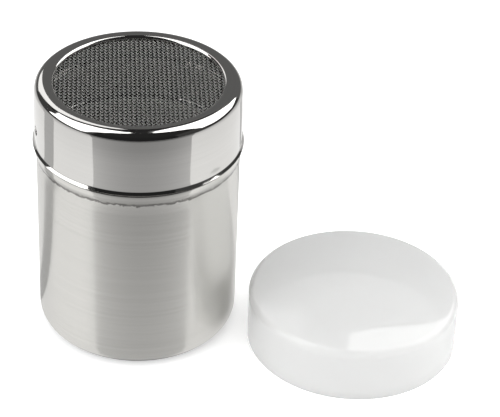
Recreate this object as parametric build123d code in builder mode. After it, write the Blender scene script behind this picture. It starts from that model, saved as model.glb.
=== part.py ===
from build123d import *
import math
import os

os.makedirs("parts", exist_ok=True)

# A kitchen shaker with a sieve lid, for icing sugar or cocoa. All sizes are in millimetres.
# The origin is the centre of the cup's base and +Z is up. The plastic cap is off and stands
# open side down beside the cup, to its right and a little in front of it.

# Cup: a deep-drawn steel beaker with a slightly narrower neck that the lid slides over
cup_diameter = 69.2
cup_sheet = 0.5
base_corner_radius = 6.4
wall_height = 68.4
bead_projection = 0.4
bead_ramp = 0.5
bead_face_height = 2.4
bead_shoulder_height = 1.2
neck_step = 0.4
neck_height = 11.4

# Lid collar: a pressed steel ring with a turned-in bead round the sieve and a flared lip
collar_sheet = 0.5
neck_clearance = 0.3
collar_height = 23.2
lip_cover = 0.3
lip_flare = 0.8
lip_height = 1.9
inner_bead_radius = 1.1
flat_rim_width = 0.7
crown_radius = 8.0
crown_angle = 20.0
collar_corner_radius = 2.83

# Two lugs pressed into the collar, and the channels in the neck that they run in
lug_azimuth = -163.5
lug_count = 2
lug_height = 7.6
dimple_diameter = 3.6
lug_wall = 0.4
lug_depth = 0.8
lug_clearance = 0.3
lock_turn = 16.0

# Sieve: plain woven steel wire, held between the collar's inner bead and a pressed ring
wire_diameter = 0.36
wire_pitch = 1.18
warp_direction = 56.0
weft_direction = -46.5
wire_sides = 8
mesh_edge_gap = 0.25
ring_sheet = 0.5
ring_setback = 0.5
ring_corner_ease = 0.33
ring_height = 6.0
ring_clearance = 0.05

# Cap: moulded plastic with a slightly domed top, pushed over the collar in use
cap_clearance = 0.35
cap_wall = 1.4
cap_top_thickness = 1.4
cap_height = 22.8
cap_dome_radius = 200.0
cap_corner_radius = 2.8
cap_gap = 4.3
cap_azimuth = -7.3

# Cup sizes that follow
cup_radius = cup_diameter / 2
base_flat_radius = cup_radius - base_corner_radius
bead_radius = cup_radius + bead_projection
neck_radius = cup_radius - neck_step
bead_face_bottom = wall_height + bead_ramp
bead_face_top = bead_face_bottom + bead_face_height
bead_top = bead_face_top + bead_shoulder_height
mouth_height = bead_top + neck_height

# Collar sizes that follow
collar_inner_radius = neck_radius + neck_clearance
collar_radius = collar_inner_radius + collar_sheet
lip_bottom = bead_top - lip_cover
lip_top = lip_bottom + lip_height
collar_top = lip_bottom + collar_height
crown_rise = math.sin(math.radians(crown_angle))
crown_end_radius = collar_radius - collar_corner_radius * (1 - crown_rise)
crown_start_radius = crown_end_radius - crown_radius * crown_rise
rim_start_radius = crown_start_radius - flat_rim_width
opening_radius = rim_start_radius - inner_bead_radius

# Lug and channel sizes that follow
lug_azimuths = [lug_azimuth + 360 / lug_count * index for index in range(lug_count)]
lug_radius = dimple_diameter / 2 + lug_wall
lug_centre_height = lip_bottom + lug_height
lug_tip_radius = collar_inner_radius - lug_depth
channel_floor_radius = lug_tip_radius - lug_clearance
channel_half_width = lug_radius + lug_clearance
channel_bottom = lug_centre_height - channel_half_width
channel_top = lug_centre_height + channel_half_width
channel_half_turn = math.degrees(channel_half_width / channel_floor_radius)
channel_wall_turn = math.degrees(cup_sheet / channel_floor_radius)
entry_turn = 2 * channel_half_turn
pad_floor = channel_floor_radius - cup_sheet
pad_face = neck_radius - cup_sheet / 2
pad_bottom = channel_bottom - cup_sheet
pad_top = channel_top + cup_sheet

# Sieve sizes that follow
warp_height = collar_top - inner_bead_radius - wire_diameter / 2
weft_height = warp_height - wire_diameter
ring_top = weft_height - wire_diameter / 2
ring_radius = collar_inner_radius - ring_clearance
ring_corner_radius = collar_corner_radius - collar_sheet - ring_corner_ease
ring_opening_radius = opening_radius + ring_setback
mesh_radius = ring_radius - ring_corner_radius - mesh_edge_gap

# Cap sizes that follow
cap_inner_radius = collar_radius + cap_clearance
cap_radius = cap_inner_radius + cap_wall
cap_inner_corner_radius = cap_corner_radius - cap_wall
cap_dome_centre = cap_height - cap_dome_radius
cap_distance = collar_radius + lip_flare + cap_gap + cap_radius
cap_centre_x = cap_distance * math.cos(math.radians(cap_azimuth))
cap_centre_y = cap_distance * math.sin(math.radians(cap_azimuth))


def radial_plane(azimuth):
    """Upright plane through the jar's axis: local x points outward, local y up."""
    turn = math.radians(azimuth)
    outward = (math.cos(turn), math.sin(turn), 0)
    sideways = (math.sin(turn), -math.cos(turn), 0)
    return Plane(origin=(0, 0, 0), x_dir=outward, z_dir=sideways)


def sector_profile(azimuth, inner_radius, outer_radius, bottom, top):
    """Upright rectangle at an azimuth, to be swept round the jar's axis."""
    middle = ((inner_radius + outer_radius) / 2, (bottom + top) / 2)
    with BuildSketch(radial_plane(azimuth)) as profile:
        with Locations(middle):
            Rectangle(outer_radius - inner_radius, top - bottom)
    return profile.sketch


def base_corner(radius):
    """The round between the cup's base and its wall, outside or inside the sheet."""
    return CenterArc((base_flat_radius, base_corner_radius), radius, 270, 90)


def sheet_wall(radius_shift):
    """The cup's outer line above its base corner, moved towards the axis by a shift."""
    wall = cup_radius - radius_shift
    face = bead_radius - radius_shift
    neck = neck_radius - radius_shift
    side = Line((wall, base_corner_radius), (wall, wall_height))
    ramp = Line(side @ 1, (face, bead_face_bottom))
    band = Line(ramp @ 1, (face, bead_face_top))
    shoulder = TangentArc([band @ 1, (neck, bead_top)], tangent=(0, 1))
    return Line(shoulder @ 1, (neck, mouth_height))


def wire_layer(direction, height):
    """Parallel wires across the mesh disc, all in one direction and at one height."""
    turn = math.radians(direction)
    along = Vector(math.cos(turn), math.sin(turn), 0)
    across = Vector(-math.sin(turn), math.cos(turn), 0)
    last = math.floor((mesh_radius - wire_pitch) / wire_pitch)
    wires = []
    for index in range(-last, last + 1):
        place = index * wire_pitch
        half_length = math.sqrt(mesh_radius**2 - place**2)
        middle = across * place + Vector(0, 0, height)
        with BuildSketch(Plane(origin=middle, x_dir=across, z_dir=along)) as section:
            RegularPolygon(wire_diameter / 2, wire_sides, major_radius=False, rotation=180 / wire_sides)
        wires.append(extrude(section.sketch, amount=half_length, both=True))
    with BuildPart() as layer:
        add(wires)
    return layer


def cap_skin(side_radius, dome_radius, corner_radius):
    """Outer or inner outline of the cap: the domed top, its rounded edge and the side down to the rim."""
    reach = side_radius - corner_radius
    centre_distance = dome_radius - corner_radius
    turn = math.degrees(math.asin(reach / centre_distance))
    edge_height = cap_dome_centre + math.sqrt(centre_distance**2 - reach**2)
    dome = CenterArc((0, cap_dome_centre), dome_radius, 90, -turn)
    edge = CenterArc((reach, edge_height), corner_radius, 90 - turn, turn - 90)
    side = Line(edge @ 1, (side_radius, 0))
    return dome @ 0, side @ 1


# Cup, with an L-shaped channel for each lug: down from the mouth, then round to lock
with BuildPart() as cup:
    with BuildSketch(Plane.XZ):
        with BuildLine():
            Line((0, 0), (base_flat_radius, 0))
            base_corner(base_corner_radius)
            sheet_wall(0)
            Line((neck_radius, mouth_height), (neck_radius - cup_sheet, mouth_height))
            sheet_wall(cup_sheet)
            base_corner(base_corner_radius - cup_sheet)
            Line((base_flat_radius, cup_sheet), (0, cup_sheet))
            Line((0, cup_sheet), (0, 0))
        make_face()
    revolve(axis=Axis.Z)
    for azimuth in lug_azimuths:
        entry_start = azimuth - channel_half_turn
        lock_start = entry_start - lock_turn
        revolve(
            sector_profile(lock_start - channel_wall_turn, pad_floor, pad_face, pad_bottom, pad_top),
            axis=Axis.Z,
            revolution_arc=lock_turn + entry_turn + 2 * channel_wall_turn,
        )
        revolve(
            sector_profile(entry_start - channel_wall_turn, pad_floor, pad_face, channel_top, mouth_height),
            axis=Axis.Z,
            revolution_arc=entry_turn + 2 * channel_wall_turn,
        )
        revolve(
            sector_profile(lock_start, channel_floor_radius, bead_radius, channel_bottom, channel_top),
            axis=Axis.Z,
            revolution_arc=lock_turn + entry_turn,
            mode=Mode.SUBTRACT,
        )
        revolve(
            sector_profile(entry_start, channel_floor_radius, bead_radius, lug_centre_height, mouth_height),
            axis=Axis.Z,
            revolution_arc=entry_turn,
            mode=Mode.SUBTRACT,
        )
cup.part.label = "cup"
export_step(cup.part, "parts/cup.step")

# Lid collar, with a lug pressed in at each azimuth
with BuildPart() as lid_collar:
    with BuildSketch(Plane.XZ):
        with BuildLine():
            CenterArc((rim_start_radius, collar_top - inner_bead_radius), inner_bead_radius, 180, -90)
            rim = Line((rim_start_radius, collar_top), (crown_start_radius, collar_top))
            crown = JernArc(start=rim @ 1, tangent=(1, 0), radius=crown_radius, arc_size=-crown_angle)
            corner = JernArc(
                start=crown @ 1,
                tangent=crown % 1,
                radius=collar_corner_radius,
                arc_size=crown_angle - 90,
            )
            skirt = Line(corner @ 1, (collar_radius, lip_top))
            TangentArc([skirt @ 1, (collar_radius + lip_flare, lip_bottom)], tangent=(0, -1))
            offset(amount=collar_sheet, side=Side.RIGHT)
        make_face()
    revolve(axis=Axis.Z)
    for azimuth in lug_azimuths:
        outward = radial_plane(azimuth).x_dir
        tip = Plane(origin=outward * lug_tip_radius + Vector(0, 0, lug_centre_height), z_dir=outward)
        with BuildSketch(tip):
            Circle(lug_radius)
        extrude(amount=lug_depth + collar_sheet / 2)
        with BuildSketch(tip.offset(collar_sheet)):
            Circle(dimple_diameter / 2)
        extrude(amount=lug_depth + lug_radius, mode=Mode.SUBTRACT)
lid_collar.part.label = "lid_collar"
export_step(lid_collar.part, "parts/lid_collar.step")

# Sieve: two crossing layers of straight wires that touch
mesh_warp_wires = wire_layer(warp_direction, warp_height)
mesh_warp_wires.part.label = "mesh_warp_wires"
export_step(mesh_warp_wires.part, "parts/mesh_warp_wires.step")

mesh_weft_wires = wire_layer(weft_direction, weft_height)
mesh_weft_wires.part.label = "mesh_weft_wires"
export_step(mesh_weft_wires.part, "parts/mesh_weft_wires.step")

# Ring inside the lid that clamps the mesh against the collar's bead
with BuildPart() as mesh_ring:
    with BuildSketch(Plane.XZ):
        with BuildLine():
            shelf = Line((ring_opening_radius, ring_top), (ring_radius - ring_corner_radius, ring_top))
            bend = JernArc(start=shelf @ 1, tangent=(1, 0), radius=ring_corner_radius, arc_size=-90)
            Line(bend @ 1, (ring_radius, ring_top - ring_height))
            offset(amount=ring_sheet, side=Side.RIGHT)
        make_face()
    revolve(axis=Axis.Z)
mesh_ring.part.label = "mesh_ring"
export_step(mesh_ring.part, "parts/mesh_ring.step")

# Cap, standing on its open side
cap_plane = Plane(origin=(cap_centre_x, cap_centre_y, 0), x_dir=(1, 0, 0), z_dir=(0, -1, 0))
cap_axis = Axis((cap_centre_x, cap_centre_y, 0), (0, 0, 1))

with BuildPart() as cap:
    with BuildSketch(cap_plane):
        with BuildLine():
            outer_top, outer_rim = cap_skin(cap_radius, cap_dome_radius, cap_corner_radius)
            inner_top, inner_rim = cap_skin(
                cap_inner_radius,
                cap_dome_radius - cap_top_thickness,
                cap_inner_corner_radius,
            )
            Line(outer_rim, inner_rim)
            Line(inner_top, outer_top)
        make_face()
    revolve(axis=cap_axis)
cap.part.label = "cap"
export_step(cap.part, "parts/cap.step")
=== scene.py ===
import math

import bpy
import numpy as np
from mathutils import Matrix, Vector


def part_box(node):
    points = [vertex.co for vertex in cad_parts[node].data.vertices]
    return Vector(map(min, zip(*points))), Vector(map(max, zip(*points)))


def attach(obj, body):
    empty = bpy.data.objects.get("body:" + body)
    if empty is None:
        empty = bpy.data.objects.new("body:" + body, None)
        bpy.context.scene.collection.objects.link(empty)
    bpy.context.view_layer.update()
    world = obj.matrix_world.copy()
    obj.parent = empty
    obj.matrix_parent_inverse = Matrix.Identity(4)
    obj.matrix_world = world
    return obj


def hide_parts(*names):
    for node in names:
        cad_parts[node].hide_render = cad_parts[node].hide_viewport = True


# A steel kitchen shaker with a woven sieve in its lid, and its plastic cap standing beside it.
# The named sizes are in millimetres, and meshes are written in metres.

MM = 0.001

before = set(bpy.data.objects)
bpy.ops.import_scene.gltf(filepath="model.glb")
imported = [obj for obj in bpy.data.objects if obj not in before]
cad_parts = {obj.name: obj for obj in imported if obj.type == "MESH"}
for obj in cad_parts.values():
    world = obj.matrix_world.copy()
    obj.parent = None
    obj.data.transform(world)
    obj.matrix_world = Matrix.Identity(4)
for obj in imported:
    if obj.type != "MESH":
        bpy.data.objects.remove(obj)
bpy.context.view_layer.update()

# Cup
cup_radius = 34.6
cup_sheet = 0.5
base_corner_radius = 6.4
wall_height = 68.4
bead_radius = 35.0
bead_face_bottom = 68.9
bead_face_top = 71.2
bead_top = 72.2
neck_radius = 34.2
plain_neck_top = 76.5
brushed_top = 67.4
# Top of the painted shade that fades out over the bead face
painted_shade_top = 70.4
mouth_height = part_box("cup")[1].z / MM

# Lid collar
collar_sheet = 0.5
collar_radius = 35.0
collar_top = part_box("lid_collar")[1].z / MM
lip_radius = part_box("lid_collar")[1].x / MM
lip_bottom = 72.6
lip_bend_radius = 0.5
lip_angle = 37.0
# The wall stands out by the bulge and leans in above lean_start: rate times the height squared
wall_bulge = 0.11
lean_start = 81.0
lean_rate = 0.00224
inner_bead_radius = 1.1
flat_rim_width = 0.7
crown_radius = 8.0
crown_angle = 20.0
collar_corner_radius = 2.83

# Lugs in the collar and their channels in the neck
lug_azimuths = (-163.5, 16.5)
lug_height = 79.8
lug_depth = 0.8
dimple_radius = 2.1
dimple_edge = 1.1
dimple_zone = 3.2
channel_depth = 0.8
channel_half_width = 2.5
channel_edge = 0.6
lock_turn = 16.0
# How far round the axis, in degrees, the meshes are finer beside a channel and a lug
channel_margin = 6.0
lug_margin = 5.0

# Woven mesh
wire_diameter = 0.36
# Thinner than the real wire, so that the holes read dark at the size of the picture
seen_wire_diameter = 0.32
wire_pitch = 1.18
mesh_edge_gap = 0.25
wire_sides = 8
steps_per_crossing = 4
warp_direction = 56.0
weft_direction = -46.5
mesh_height = (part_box("mesh_warp_wires")[1].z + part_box("mesh_weft_wires")[0].z) / 2 / MM

# Ring under the mesh
ring_sheet = 0.5
ring_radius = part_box("mesh_ring")[1].x / MM
ring_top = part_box("mesh_ring")[1].z / MM
ring_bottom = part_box("mesh_ring")[0].z / MM
ring_corner_radius = 2.0
ring_setback = 0.5

# Cap
cap_low, cap_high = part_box("cap")
cap_centre = ((cap_low + cap_high) / 2).xy / MM
cap_radius = (cap_high.x - cap_low.x) / 2 / MM
cap_height = cap_high.z / MM
cap_wall = 1.4
cap_dome_radius = 200.0
cap_corner_radius = 2.8
cap_edge_radius = 0.25

# Sizes that follow
crown_rise = math.sin(math.radians(crown_angle))
crown_end_radius = collar_radius - collar_corner_radius * (1 - crown_rise)
crown_start_radius = crown_end_radius - crown_radius * crown_rise
rim_start_radius = crown_start_radius - flat_rim_width
opening_radius = rim_start_radius - inner_bead_radius
ring_opening_radius = opening_radius + ring_setback
mesh_radius = ring_radius - ring_corner_radius - mesh_edge_gap


# Mesh helpers

def make_object(name, points, faces, sharp_angle=40.0):
    """A smooth-shaded mesh object from points in millimetres."""
    mesh = bpy.data.meshes.new(name)
    mesh.from_pydata((np.asarray(points) * MM).tolist(), [], faces)
    mesh.validate()
    mesh.shade_smooth()
    mesh.set_sharp_from_angle(angle=math.radians(sharp_angle))
    piece = bpy.data.objects.new(name, mesh)
    bpy.context.scene.collection.objects.link(piece)
    return piece


def arc(centre, radius, start, end, steps):
    """Points of an arc in a section, as (radius, height), between two angles in degrees."""
    angles = np.radians(np.linspace(start, end, steps + 1))
    return [(centre[0] + radius * math.cos(a), centre[1] + radius * math.sin(a)) for a in angles]


def line(start, end, steps=1):
    """Points of a straight stretch in a section."""
    start, end = np.array(start), np.array(end)
    return [tuple(start + (end - start) * t) for t in np.linspace(0, 1, steps + 1)]


def joined(*stretches):
    """One outline from several stretches, without doubled points."""
    outline = []
    for stretch in stretches:
        for point in stretch:
            if not outline or math.dist(outline[-1], point) > 1e-4:
                outline.append(point)
    return outline


def lathe_angles(steps, dense_at=(), dense_step=0.5):
    """Angles round the axis in degrees: even steps, and finer ones near some azimuths.

    dense_at has an azimuth, the reach below it and the reach above it for each place.
    """
    angles = list(np.linspace(0, 360, steps, endpoint=False))
    for azimuth, reach_down, reach_up in dense_at:
        fine = np.arange(azimuth - reach_down, azimuth + reach_up, dense_step)
        kept = []
        for angle in angles:
            turn = (angle - azimuth + 180) % 360 - 180
            if turn < -reach_down - dense_step / 2 or turn > reach_up - dense_step / 2:
                kept.append(angle)
        angles = kept + [a % 360 for a in fine]
    return np.array(sorted(angles))


def lathe(name, outline, angles, press=None, centre=(0.0, 0.0)):
    """A turned piece: the closed outline goes round the axis, with its faces outwards.

    press gives how far the points of one ring move towards the axis.
    """
    outline = list(outline)
    if math.dist(outline[0], outline[-1]) < 1e-4:
        outline.pop()
    ends = zip(outline, outline[1:] + outline[:1])
    if sum(a[0] * b[1] - b[0] * a[1] for a, b in ends) < 0:
        outline.reverse()
    turns = np.radians(angles)
    count = len(angles)
    points, rings = [], []
    for radius, height in outline:
        if radius < 1e-6:
            rings.append([len(points)] * count)
            points.append((centre[0], centre[1], height))
            continue
        inward = press(angles, radius, height) if press else np.zeros(count)
        reach = radius - inward
        start = len(points)
        rings.append(list(range(start, start + count)))
        x = centre[0] + reach * np.cos(turns)
        y = centre[1] + reach * np.sin(turns)
        points += list(zip(x, y, [height] * count))
    faces = []
    closed = outline[0][0] > 1e-6
    pairs = list(zip(rings, rings[1:])) + ([(rings[-1], rings[0])] if closed else [])
    for low, high in pairs:
        for i in range(count):
            j = (i + 1) % count
            corners = [low[i], low[j], high[j], high[i]]
            corners = [c for n, c in enumerate(corners) if c != corners[n - 1]]
            if len(corners) > 2:
                faces.append(corners)
    return make_object(name, points, faces)


def smooth_step(value):
    """0 below 0, 1 above 1 and smooth between."""
    t = np.clip(value, 0, 1)
    return t * t * (3 - 2 * t)


def turn_from(angles, azimuth):
    """Each angle's turn from an azimuth, between -180 and 180 degrees."""
    return (np.asarray(angles) - azimuth + 180) % 360 - 180


# Cup

def channel_press(angles, radius, height):
    """How far the neck is pressed in: an L-shaped channel with soft edges for each lug."""
    inward = np.zeros(len(angles))
    low_side = -(channel_half_width + math.radians(lock_turn) * neck_radius)
    for azimuth in lug_azimuths:
        run = np.radians(turn_from(angles, azimuth)) * neck_radius
        # Signed distances into the two arms of the L: the open one and the one that locks
        entry = np.minimum(
            channel_half_width - np.abs(run),
            height - lug_height + channel_half_width,
        )
        lock = np.minimum(
            np.minimum(run - low_side, channel_half_width - run),
            channel_half_width - abs(height - lug_height),
        )
        inside = np.maximum(entry, lock)
        press = smooth_step((inside + channel_edge / 2) / channel_edge)
        inward = np.maximum(inward, channel_depth * press)
    return inward


def cup_side(shift):
    """The cup's outline above its base corner, moved towards the axis by a shift."""
    wall, face, neck = cup_radius - shift, bead_radius - shift, neck_radius - shift
    shoulder_rise = bead_top - bead_face_top
    shoulder_step = bead_radius - neck_radius
    shoulder_radius = (shoulder_rise**2 / shoulder_step + shoulder_step) / 2
    shoulder_turn = math.degrees(math.asin(shoulder_rise / shoulder_radius))
    ramp = [
        (
            wall + (bead_radius - cup_radius) * float(smooth_step(t)),
            wall_height + (bead_face_bottom - wall_height) * t,
        )
        for t in np.linspace(0, 1, 7)
    ]
    return joined(
        line((wall, base_corner_radius), (wall, wall_height), 12),
        ramp,
        line((face, bead_face_bottom), (face, bead_face_top), 3),
        arc((face - shoulder_radius, bead_face_top), shoulder_radius, 0, shoulder_turn, 6),
        line((neck, bead_top), (neck, plain_neck_top), 2),
        line((neck, plain_neck_top), (neck, mouth_height), 22),
    )


def make_cup():
    flat_radius = cup_radius - base_corner_radius
    outline = joined(
        line((0, 0), (flat_radius, 0), 6),
        arc((flat_radius, base_corner_radius), base_corner_radius, 270, 360, 20),
        cup_side(0),
        list(reversed(cup_side(cup_sheet))),
        arc((flat_radius, base_corner_radius), base_corner_radius - cup_sheet, 360, 270, 20),
        line((flat_radius, cup_sheet), (0, cup_sheet), 6),
    )
    dense = [(azimuth, lock_turn + channel_margin, channel_margin) for azimuth in lug_azimuths]
    angles = lathe_angles(240, dense, dense_step=0.6)
    cup = lathe("cup_body", outline, angles, press=channel_press)
    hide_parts("cup")
    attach(cup, "cup")
    return cup


# Lid collar

def dimple_press(angles, radius, height):
    """How far the collar's wall is pressed in round each lug."""
    inward = np.zeros(len(angles))
    for azimuth in lug_azimuths:
        run = np.radians(turn_from(angles, azimuth)) * radius
        away = np.hypot(run, height - lug_height)
        press = smooth_step((dimple_radius - away) / dimple_edge)
        inward = np.maximum(inward, lug_depth * press)
    return inward


def collar_side(shift):
    """The collar's outline from its inner bead to its lip, on one side of the sheet."""
    crown_drop = (crown_radius - collar_corner_radius) * math.cos(math.radians(crown_angle))
    corner_height = collar_top - crown_radius + crown_drop
    # The wall leans in a little towards its top, and the crown moves in with it
    lean_angle = math.atan(2 * lean_rate * (corner_height - lean_start))
    lean_top = corner_height + collar_corner_radius * math.sin(lean_angle)
    inset = lean_rate * (lean_top - lean_start) ** 2 - wall_bulge
    inset -= collar_corner_radius * (1 - math.cos(lean_angle))
    lean = [
        (collar_radius + wall_bulge - lean_rate * (height - lean_start) ** 2 - shift, height)
        for height in np.linspace(lean_top, lean_start, 13)
    ]
    wall = collar_radius + wall_bulge - shift
    # The lip: a tight bend, then a straight flare to the edge
    turn = math.radians(lip_angle)
    bend = lip_bend_radius + shift
    bend_centre = collar_radius + wall_bulge + lip_bend_radius
    flare_start = bend_centre - lip_bend_radius * math.cos(turn)
    bend_bottom = lip_bottom + (lip_radius - flare_start) / math.tan(turn)
    lip_top = bend_bottom + lip_bend_radius * math.sin(turn)
    edge = (lip_radius - shift * math.cos(turn), lip_bottom)
    rim, crown, top = rim_start_radius - inset, crown_start_radius - inset, collar_top - shift
    return joined(
        arc((rim, collar_top - inner_bead_radius), inner_bead_radius - shift, 180, 90, 14),
        line((rim, top), (crown, top), 2),
        arc((crown, collar_top - crown_radius), crown_radius - shift, 90, 90 - crown_angle, 6),
        arc(
            (collar_radius - collar_corner_radius - inset, corner_height),
            collar_corner_radius - shift,
            90 - crown_angle,
            math.degrees(lean_angle),
            20,
        ),
        lean,
        line((wall, lean_start), (wall, lug_height - dimple_zone), 14),
        line((wall, lug_height - dimple_zone), (wall, lip_top), 2),
        arc((bend_centre, lip_top), bend, 180, 180 + lip_angle, 6),
        [edge],
    )


def make_collar():
    outline = joined(collar_side(0), list(reversed(collar_side(collar_sheet))))
    dense = [(azimuth, lug_margin, lug_margin) for azimuth in lug_azimuths]
    collar = lathe("collar", outline, lathe_angles(300, dense), press=dimple_press)
    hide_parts("lid_collar")
    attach(collar, "sieve_lid")
    return collar


# Ring under the mesh

def make_ring():
    bend = (ring_radius - ring_corner_radius, ring_top - ring_corner_radius)
    inner_radius, under_top = ring_radius - ring_sheet, ring_top - ring_sheet
    outer = joined(
        line((ring_opening_radius, ring_top), (bend[0], ring_top), 2),
        arc(bend, ring_corner_radius, 90, 0, 8),
        line((ring_radius, bend[1]), (ring_radius, ring_bottom), 2),
    )
    inner = joined(
        line((inner_radius, ring_bottom), (inner_radius, bend[1]), 2),
        arc(bend, ring_corner_radius - ring_sheet, 0, 90, 8),
        line((bend[0], under_top), (ring_opening_radius, under_top), 2),
    )
    ring = lathe("clamping_ring", joined(outer, inner), lathe_angles(180))
    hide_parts("mesh_ring")
    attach(ring, "sieve_lid")
    return ring


# Woven mesh

def weave_wires(name, node, direction, other_direction, first_up):
    """One family of wires that pass over and under the other family."""
    along = np.array([math.cos(math.radians(direction)), math.sin(math.radians(direction)), 0.0])
    across = np.array([-along[1], along[0], 0.0])
    other = math.radians(other_direction)
    other_across = np.array([-math.sin(other), math.cos(other), 0.0])
    lift = wire_diameter / 2
    reach = seen_wire_diameter / 2
    sides = wire_sides
    last = math.floor((mesh_radius - wire_pitch) / wire_pitch)
    ring_turns = np.linspace(0, 2 * math.pi, sides, endpoint=False)
    points, faces = [], []
    for index in range(-last, last + 1):
        place = index * wire_pitch
        half = math.sqrt(mesh_radius**2 - place**2)
        # The place of a point on this wire, counted in wires of the other family
        rate = float(other_across @ along) / wire_pitch
        offset = float(other_across @ across) * index
        low, high = sorted((offset - rate * half, offset + rate * half))
        first_mark = math.ceil(low * steps_per_crossing)
        last_mark = math.floor(high * steps_per_crossing)
        marks = np.arange(first_mark, last_mark + 1)
        counts = np.concatenate(([low], marks / steps_per_crossing, [high]))
        travel = (counts - offset) / rate
        if travel[0] > travel[-1]:
            travel, counts = travel[::-1], counts[::-1]
        wave = first_up * lift * np.cos(math.pi * (counts + index))
        slope = -first_up * lift * math.pi * rate * np.sin(math.pi * (counts + index))
        centres = across * place + along * travel[:, None]
        centres[:, 2] = mesh_height + wave
        tangent = along + np.array([0.0, 0.0, 1.0]) * slope[:, None]
        tangent /= np.linalg.norm(tangent, axis=1)[:, None]
        normal = np.cross(tangent, across)
        start = len(points)
        for centre, up in zip(centres, normal):
            for turn in ring_turns:
                points.append(centre + reach * (math.cos(turn) * across + math.sin(turn) * up))
        rows = len(centres)
        for row in range(rows - 1):
            for side in range(sides):
                a = start + row * sides + side
                b = start + row * sides + (side + 1) % sides
                faces.append([a, b, b + sides, a + sides])
        faces.append([start + side for side in reversed(range(sides))])
        faces.append([start + (rows - 1) * sides + side for side in range(sides)])
    wires = make_object(name, points, faces, sharp_angle=60.0)
    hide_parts(node)
    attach(wires, "sieve_lid")
    return wires


# Cap

def cap_side(shift):
    """The cap's outline from the middle of its domed top to its side, outside or inside."""
    reach = cap_radius - cap_corner_radius
    centre_distance = cap_dome_radius - cap_corner_radius
    turn = math.degrees(math.asin(reach / centre_distance))
    dome_centre = cap_height - cap_dome_radius
    edge_height = dome_centre + math.sqrt(centre_distance**2 - reach**2)
    return joined(
        arc((0, dome_centre), cap_dome_radius - shift, 90, 90 - turn, 24),
        arc((reach, edge_height), cap_corner_radius - shift, 90 - turn, 0, 16),
    )


def make_cap():
    edge = cap_edge_radius
    inner_radius = cap_radius - cap_wall
    outline = joined(
        cap_side(0),
        line(cap_side(0)[-1], (cap_radius, edge), 4),
        arc((cap_radius - edge, edge), edge, 0, -90, 4),
        arc((inner_radius + edge, edge), edge, 270, 180, 4),
        line((inner_radius, edge), cap_side(cap_wall)[-1], 4),
        list(reversed(cap_side(cap_wall))),
    )
    cap = lathe("plastic_cap", outline, lathe_angles(240), centre=tuple(cap_centre))
    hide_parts("cap")
    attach(cap, "cap")
    return cap


# Material helpers

class Nodes:
    """A short way to write a node tree."""

    def __init__(self, name, world=None):
        if world:
            world.use_nodes = True
            self.tree = world.node_tree
        else:
            self.material = bpy.data.materials.new(name)
            self.material.use_nodes = True
            self.tree = self.material.node_tree
        self.tree.nodes.clear()

    def add(self, kind, inputs=None, **settings):
        node = self.tree.nodes.new("ShaderNode" + kind)
        for key, value in settings.items():
            setattr(node, key, value)
        for key, value in (inputs or {}).items():
            self.put(node, key, value)
        return node

    def put(self, node, key, value):
        if isinstance(value, bpy.types.NodeSocket):
            self.tree.links.new(value, node.inputs[key])
        else:
            node.inputs[key].default_value = value

    def math(self, operation, first, second=0.0, third=0.0):
        return self.add("Math", {0: first, 1: second, 2: third}, operation=operation).outputs[0]

    def remap(self, value, from_low, from_high, to_low, to_high, smooth=False):
        node = self.add(
            "MapRange",
            {
                "Value": value,
                "From Min": from_low,
                "From Max": from_high,
                "To Min": to_low,
                "To Max": to_high,
            },
            interpolation_type="SMOOTHSTEP" if smooth else "LINEAR",
        )
        return node.outputs["Result"]

    def mix_colour(self, factor, first, second):
        node = self.add("Mix", data_type="RGBA")
        self.put(node, "Factor", factor)
        self.put(node, 6, first)
        self.put(node, 7, second)
        return node.outputs[2]

    def output(self, shader, kind="OutputMaterial"):
        node = self.add(kind)
        self.put(node, "Surface", shader)


def turned_coordinates(nodes, round_scale, across_scale):
    """Noise coordinates that change slowly round the axis and quickly across the turning marks.

    The height and the distance from the axis, in metres, come with them.
    """
    place = nodes.add("TexCoord").outputs["Object"]
    parts = nodes.add("SeparateXYZ", {0: place}).outputs
    flat = nodes.add("CombineXYZ", {0: parts[0], 1: parts[1]}).outputs[0]
    radius = nodes.add("VectorMath", {0: flat}, operation="LENGTH").outputs["Value"]
    across = nodes.math("MULTIPLY", nodes.math("SUBTRACT", parts[2], radius), across_scale)
    x = nodes.math("MULTIPLY", parts[0], round_scale)
    y = nodes.math("MULTIPLY", parts[1], round_scale)
    return nodes.add("CombineXYZ", {0: x, 1: y, 2: across}).outputs[0], parts[2], radius


def noise(nodes, vector, scale, detail=2.0, roughness=0.5):
    return nodes.add(
        "TexNoise", {"Vector": vector, "Scale": scale, "Detail": detail, "Roughness": roughness}
    ).outputs["Fac"]


# Materials

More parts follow.
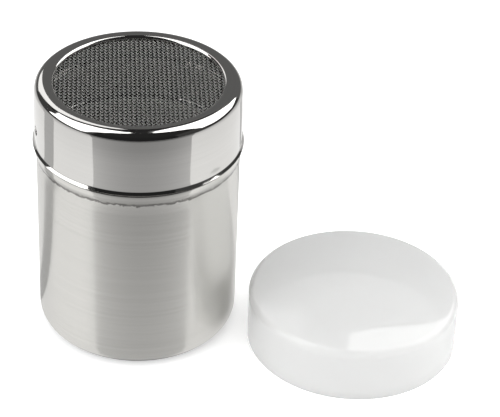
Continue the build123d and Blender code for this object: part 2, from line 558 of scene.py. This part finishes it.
def brushed_steel():
    nodes = Nodes("brushed_steel")
    fine, height, radius = turned_coordinates(nodes, 14.0, 1900.0)
    broad, _, _ = turned_coordinates(nodes, 9.0, 700.0)
    streaks = noise(nodes, fine, 1.0, 3.0, 0.65)
    bands = noise(nodes, broad, 1.0, 3.0, 0.6)
    shade = nodes.remap(streaks, 0.3, 0.7, 0.0, 1.0)
    dark_steel, light_steel = (0.672, 0.662, 0.632, 1.0), (0.707, 0.697, 0.668, 1.0)
    # Painted shade colours: one for the dark line at the bead, one for the dark inside
    painted_shade_colour, painted_inside_shade = (0.10, 0.095, 0.09, 1.0), (0.10, 0.10, 0.10, 1.0)
    steel = nodes.mix_colour(shade, dark_steel, light_steel)
    # The brushing stops short of the bead. Painted shade lies there in a ragged dark line and
    # thins out upwards; it stands in for the dark reflections under the bead
    place = nodes.add("TexCoord").outputs["Object"]
    ragged = nodes.remap(noise(nodes, place, 450.0, 5.0, 0.7), 0.3, 0.7, -0.0006, 0.0006)
    level = nodes.math("ADD", height, ragged)
    above = nodes.remap(level, brushed_top * MM, (brushed_top + 0.2) * MM, 0.0, 1.0)
    line_end = nodes.remap(level, (brushed_top + 0.7) * MM, (brushed_top + 1.5) * MM, 1.0, 0.0)
    fading_shade = nodes.remap(height, (brushed_top + 1.2) * MM, painted_shade_top * MM, 1.0, 0.0, smooth=True)
    line_share = nodes.math("MULTIPLY", line_end, 0.80)
    fading_shade_share = nodes.math("MULTIPLY", fading_shade, 0.42)
    painted_shade_mask = nodes.math("MULTIPLY", above, nodes.math("MAXIMUM", line_share, fading_shade_share))
    colour = nodes.mix_colour(painted_shade_mask, steel, painted_shade_colour)
    # Painted shade: the inside is painted dark for the dark reflections there, but the underside of
    # the base is brushed
    inside = nodes.remap(radius, (neck_radius - 1.0) * MM, (neck_radius - 0.7) * MM, 1.0, 0.0)
    over_base = nodes.math("GREATER_THAN", height, 0.0002)
    inside = nodes.math("MULTIPLY", inside, over_base)
    colour = nodes.mix_colour(inside, colour, painted_inside_shade)
    brushed = nodes.remap(bands, 0.3, 0.7, 0.225, 0.24)
    unbrushed = 0.12
    roughness = nodes.add("Mix", {0: above, 2: brushed, 3: unbrushed}, data_type="FLOAT").outputs[0]
    bump = nodes.add("Bump", {"Strength": 0.03, "Distance": 0.000002, "Height": streaks}).outputs[0]
    tangent = nodes.add("Tangent", direction_type="RADIAL", axis="Z").outputs[0]
    shader = nodes.add(
        "BsdfPrincipled",
        {
            "Base Color": colour,
            "Metallic": 1.0,
            "Roughness": roughness,
            "Anisotropic": 1.0,
            "Anisotropic Rotation": 0.25,
            "Normal": bump,
            "Tangent": tangent,
        },
    )
    nodes.output(shader.outputs[0])
    return nodes.material


def polished_steel():
    nodes = Nodes("polished_steel")
    fine, _, _ = turned_coordinates(nodes, 20.0, 1800.0)
    streaks = noise(nodes, fine, 1.0, 3.0, 0.6)
    place = nodes.add("TexCoord").outputs["Object"]
    smudges = noise(nodes, place, 120.0, 4.0, 0.6)
    colour = nodes.mix_colour(streaks, (0.64, 0.63, 0.61, 1.0), (0.69, 0.68, 0.66, 1.0))
    roughness = nodes.remap(smudges, 0.35, 0.7, 0.04, 0.08)
    bump = nodes.add("Bump", {"Strength": 0.05, "Distance": 0.000008, "Height": streaks}).outputs[0]
    shader = nodes.add(
        "BsdfPrincipled",
        {"Base Color": colour, "Metallic": 1.0, "Roughness": roughness, "Normal": bump},
    )
    nodes.output(shader.outputs[0])
    return nodes.material


def wire_steel():
    nodes = Nodes("wire_steel")
    place = nodes.add("TexCoord").outputs["Object"]
    spots = noise(nodes, place, 1800.0, 2.0, 0.5)
    colour = nodes.mix_colour(spots, (0.22, 0.22, 0.215, 1.0), (0.36, 0.36, 0.35, 1.0))
    roughness = nodes.remap(spots, 0.3, 0.7, 0.06, 0.12)
    bump = nodes.add("Bump", {"Strength": 0.1, "Distance": 0.00001, "Height": spots}).outputs[0]
    shader = nodes.add(
        "BsdfPrincipled",
        {"Base Color": colour, "Metallic": 1.0, "Roughness": roughness, "Normal": bump},
    )
    nodes.output(shader.outputs[0])
    return nodes.material


def cap_plastic():
    nodes = Nodes("cap_plastic")
    place = nodes.add("TexCoord").outputs["Object"]
    haze = noise(nodes, place, 60.0, 3.0, 0.5)
    grain = noise(nodes, place, 2500.0, 2.0, 0.5)
    colour = nodes.mix_colour(haze, (0.92, 0.925, 0.915, 1.0), (0.95, 0.955, 0.945, 1.0))
    roughness = nodes.remap(grain, 0.3, 0.7, 0.02, 0.04)
    bump = nodes.add("Bump", {"Strength": 0.02, "Distance": 0.000004, "Height": grain}).outputs[0]
    shader = nodes.add(
        "BsdfPrincipled",
        {
            "Base Color": colour,
            "Roughness": roughness,
            "IOR": 1.49,
            "Transmission Weight": 0.32,
            "Subsurface Weight": 0.8,
            "Subsurface Radius": (0.004, 0.004, 0.004),
            "Subsurface Scale": 1.0,
            "Normal": bump,
        },
    )
    nodes.output(shader.outputs[0])
    return nodes.material


# The object
cup = make_cup()
cup.data.materials.append(brushed_steel())
collar = make_collar()
polished = polished_steel()
collar.data.materials.append(polished)
ring = make_ring()
ring.data.materials.append(polished)
wire = wire_steel()
warp = weave_wires("warp_wires", "mesh_warp_wires", warp_direction, weft_direction, 1)
warp.data.materials.append(wire)
weft = weave_wires("weft_wires", "mesh_weft_wires", weft_direction, warp_direction, -1)
weft.data.materials.append(wire)
cap = make_cap()
cap.data.materials.append(cap_plastic())


# Studio. Its sizes are in metres

room_radiance = 0.9
lid_centre = Vector((0.0, 0.0, 0.09))
panel_distance = 3.0


def card(name, corners, radiance, gradient=None):
    """A glowing sheet that only reflections see, with one radiance or a gradient in nodes."""
    mesh = bpy.data.meshes.new(name)
    mesh.from_pydata([tuple(c) for c in corners], [], [list(range(len(corners)))])
    sheet = bpy.data.objects.new(name, mesh)
    bpy.context.scene.collection.objects.link(sheet)
    nodes = Nodes(name)
    strength = gradient(nodes) if gradient else radiance
    # Light that the metal hands on to the cap and the floor comes from a bright room
    handed_on = nodes.math("GREATER_THAN", nodes.add("LightPath").outputs["Diffuse Depth"], 0.5)
    mixed = nodes.add("Mix", {0: handed_on, 2: strength, 3: room_radiance}, data_type="FLOAT")
    emission = nodes.add("Emission", {"Color": (1, 1, 1, 1), "Strength": mixed.outputs[0]})
    nodes.output(emission.outputs[0])
    mesh.materials.append(nodes.material)
    sheet.visible_camera = False
    sheet.visible_diffuse = False
    sheet.visible_shadow = False
    sheet.visible_transmission = False


def direction(azimuth, elevation):
    """The unit vector at an azimuth and an elevation in degrees."""
    a, e = math.radians(azimuth), math.radians(elevation)
    return Vector((math.cos(a) * math.cos(e), math.sin(a) * math.cos(e), math.sin(e)))


def panel(name, outline, radiance):
    """A bright panel, with its outline as azimuths and elevations seen from the lid."""
    card(name, [lid_centre + direction(*corner) * panel_distance for corner in outline], radiance)


def softbox(name, azimuth, elevation, distance, width, height, radiance):
    """A rectangular lamp that faces the object. Reflections see the panels in place of it."""
    lamp = bpy.data.lights.new(name, "AREA")
    lamp.shape = "RECTANGLE"
    lamp.size = width
    lamp.size_y = height
    lamp.energy = radiance * math.pi * width * height
    holder = bpy.data.objects.new(name, lamp)
    bpy.context.scene.collection.objects.link(holder)
    aim = Vector((0.0, 0.0, 0.08))
    away = direction(azimuth, elevation)
    holder.location = aim + away * distance
    holder.rotation_euler = away.to_track_quat("Z", "Y").to_euler()
    holder.visible_glossy = False


def floor_plane():
    """A pale floor that keeps the object's shadow. Reflections see most of it as a set gradient."""
    size = 7.0
    grey, white_lift, mirrored_share = 0.86, 0.45, 0.8
    corners = [(-size, -size, 0), (size, -size, 0), (size, size, 0), (-size, size, 0)]
    mesh = bpy.data.meshes.new("floor")
    mesh.from_pydata(corners, [], [[0, 1, 2, 3]])
    floor = bpy.data.objects.new("floor", mesh)
    bpy.context.scene.collection.objects.link(floor)
    nodes = Nodes("pale_floor")
    path = nodes.add("LightPath").outputs
    seen = nodes.math("MAXIMUM", path["Is Camera Ray"], path["Is Transmission Ray"])
    paint = nodes.add("BsdfDiffuse", {"Color": (grey, grey, grey, 1.0)}).outputs[0]
    lift = nodes.add("Emission", {"Strength": nodes.math("MULTIPLY", seen, white_lift)}).outputs[0]
    lit = nodes.add("AddShader", {0: paint, 1: lift}).outputs[0]
    place = nodes.add("TexCoord").outputs["Object"]
    distance = nodes.add("VectorMath", {0: place}, operation="LENGTH").outputs["Value"]
    near = nodes.remap(distance, 0.15, 0.32, 1.03, 0.62)
    far = nodes.remap(distance, 0.32, 1.6, 1.0, 0.35)
    mirrored = nodes.add("Emission", {"Strength": nodes.math("MULTIPLY", near, far)}).outputs[0]
    share = nodes.math("MULTIPLY", path["Is Glossy Ray"], mirrored_share)
    mixed = nodes.add("MixShader", {0: share, 1: lit, 2: mirrored}).outputs[0]
    nodes.output(mixed)
    mesh.materials.append(nodes.material)


def front_card():
    """A grey card on the floor in front, which the cup and the collar reflect in their middle."""
    left_azimuth, right_azimuth = -137.0, -27.0
    height, reach = 0.0004, 1.4
    left_foot = Vector((-0.0122, -0.0330, height))
    right_foot = Vector((0.0190, -0.0296, height))
    left = left_foot + direction(left_azimuth, 0.0) * reach
    right = right_foot + direction(right_azimuth, 0.0) * reach
    middle = Vector((0.15, -2.2, height))
    # Distance from the cup's axis and radiance there, then how much brighter the sides are
    card_shades = [
        (0.05, 0.60), (0.085, 0.555), (0.115, 0.565), (0.145, 0.435),
        (0.17, 0.415), (0.20, 0.33), (0.8, 0.08),
    ]
    card_reach = card_shades[-1][0]
    side_rise = 0.65

    def strength(nodes):
        place = nodes.add("TexCoord").outputs["Object"]
        parts = nodes.add("SeparateXYZ", {0: place}).outputs
        distance = nodes.add("VectorMath", {0: place}, operation="LENGTH").outputs["Value"]
        reach_share = nodes.math("DIVIDE", distance, card_reach)
        ramp = nodes.add("ValToRGB", {"Fac": reach_share})
        stops = ramp.color_ramp.elements
        while len(stops) < len(card_shades):
            stops.new(1.0)
        for stop, (place_out, shade) in zip(stops, card_shades):
            stop.position = place_out / card_reach
            stop.color = (shade, shade, shade, 1.0)
        azimuth = nodes.math("ARCTAN2", parts[1], parts[0])
        middle_azimuth = math.radians((left_azimuth + right_azimuth) / 2)
        half_width = math.radians((right_azimuth - left_azimuth) / 2)
        aside = nodes.math("DIVIDE", nodes.math("SUBTRACT", azimuth, middle_azimuth), half_width)
        rise = nodes.math("MULTIPLY_ADD", nodes.math("MULTIPLY", aside, aside), side_rise, 1.0)
        return nodes.math("MULTIPLY", ramp.outputs["Color"], rise)

    card("front_card", [left_foot, left, middle, right, right_foot], 0.0, strength)


def side_card(name, low_azimuth, high_azimuth):
    """A narrow grey strip of floor that starts at the cup's foot."""
    near, far, height, radiance = 0.037, 0.9, 0.0003, 0.55
    low, high = low_azimuth, high_azimuth
    corners = []
    for azimuth, reach in ((low, near), (low, far), (high, far), (high, near)):
        corner = direction(azimuth, 0.0) * reach
        corner.z = height
        corners.append(corner)
    card(name, corners, radiance)


def studio_room():
    """Dark walls and a dark ceiling round the studio, which only reflections see."""
    side, top = 6.9, 6.9
    a, b, c, d = (-side, -side), (side, -side), (side, side), (-side, side)
    walls = [
        ("front_wall", a, b, 0.02),
        ("right_wall", b, c, 0.06),
        ("back_wall", c, d, 0.14),
        ("left_wall", d, a, 0.06),
    ]
    for name, start, end, radiance in walls:
        card(name, [(*start, 0.0), (*end, 0.0), (*end, top), (*start, top)], radiance)
    card("ceiling", [(*a, top), (*b, top), (*c, top), (*d, top)], 0.025)


def studio_panels():
    """The bright panels that the metal reflects: a large one on each side and one behind."""
    side_radiance, back_radiance = 2.6, 1.3
    left_outline = [
        (-147, 12), (-142, 22), (-142, 43), (-145, 58), (-154, 69), (175, 77), (146, 79),
        (124, 78), (102, 72), (99, 67), (110, 63), (120, 59), (129, 55), (137, 47),
        (158, 40), (167, 31), (167, 13),
    ]
    right_outline = [
        (-14, 27), (-12, 44), (0, 59), (17, 67), (35, 70), (75, 70), (79, 71), (85, 63), (84, 53),
        (77, 50), (70, 47), (65, 42), (58, 34), (50, 23), (30, 15), (19, 18), (1, 20), (-6, 24),
    ]
    back_outline = [
        (97, 45), (97, 51), (105, 53), (118, 52), (127, 46), (133, 18), (112, 18), (112, 41),
    ]
    panel("left_panel", left_outline, side_radiance)
    panel("right_panel", right_outline, side_radiance)
    panel("back_panel", back_outline, back_radiance)


def studio_world():
    """A white world: full white where it is seen, and the room's light elsewhere."""
    world = bpy.data.worlds.new("studio")
    bpy.context.scene.world = world
    nodes = Nodes("studio", world=world)
    path = nodes.add("LightPath").outputs
    seen = nodes.math("MAXIMUM", path["Is Camera Ray"], path["Is Glossy Ray"])
    seen = nodes.math("MAXIMUM", seen, path["Is Transmission Ray"])
    strength = nodes.remap(seen, 0.0, 1.0, room_radiance, 1.0)
    background = nodes.add("Background", {"Color": (1, 1, 1, 1), "Strength": strength}).outputs[0]
    nodes.output(background, "OutputWorld")


floor_plane()
front_card()
side_card("left_side_card", 160.0, 178.0)
side_card("right_side_card", 51.0, 59.0)
studio_room()
studio_panels()
studio_world()
softbox("left_softbox", -165.0, 25.0, 0.9, 0.80, 0.90, 1.5)
softbox("right_softbox", 5.0, 25.0, 0.9, 0.95, 0.90, 1.7)
softbox("front_softbox", -112.0, 14.0, 1.1, 0.90, 0.50, 0.9)


# Camera, fitted to the outlines of the cup, the lid and the cap
camera_place = Vector((0.038764, -0.597426, 0.455543))
camera_drop = math.radians(34.490)
camera_roll = math.radians(2.377)
focal_pixels = 2092.5
image_width = 500

forward = Vector((0.0, math.cos(camera_drop), -math.sin(camera_drop)))
level = Vector((1.0, 0.0, 0.0))
upward = level.cross(forward)
side_axis = level * math.cos(camera_roll) + upward * math.sin(camera_roll)
up_axis = upward * math.cos(camera_roll) - level * math.sin(camera_roll)
lens = bpy.data.cameras.new("camera")
lens.sensor_width = 36.0
lens.sensor_fit = "HORIZONTAL"
lens.lens = focal_pixels / image_width * lens.sensor_width
lens.clip_start = 0.01
camera = bpy.data.objects.new("camera", lens)
bpy.context.scene.collection.objects.link(camera)
turned = Matrix((side_axis, up_axis, -forward)).transposed().to_4x4()
camera.matrix_world = Matrix.Translation(camera_place) @ turned
bpy.context.scene.camera = camera
bpy.context.scene.view_settings.view_transform = "Standard"
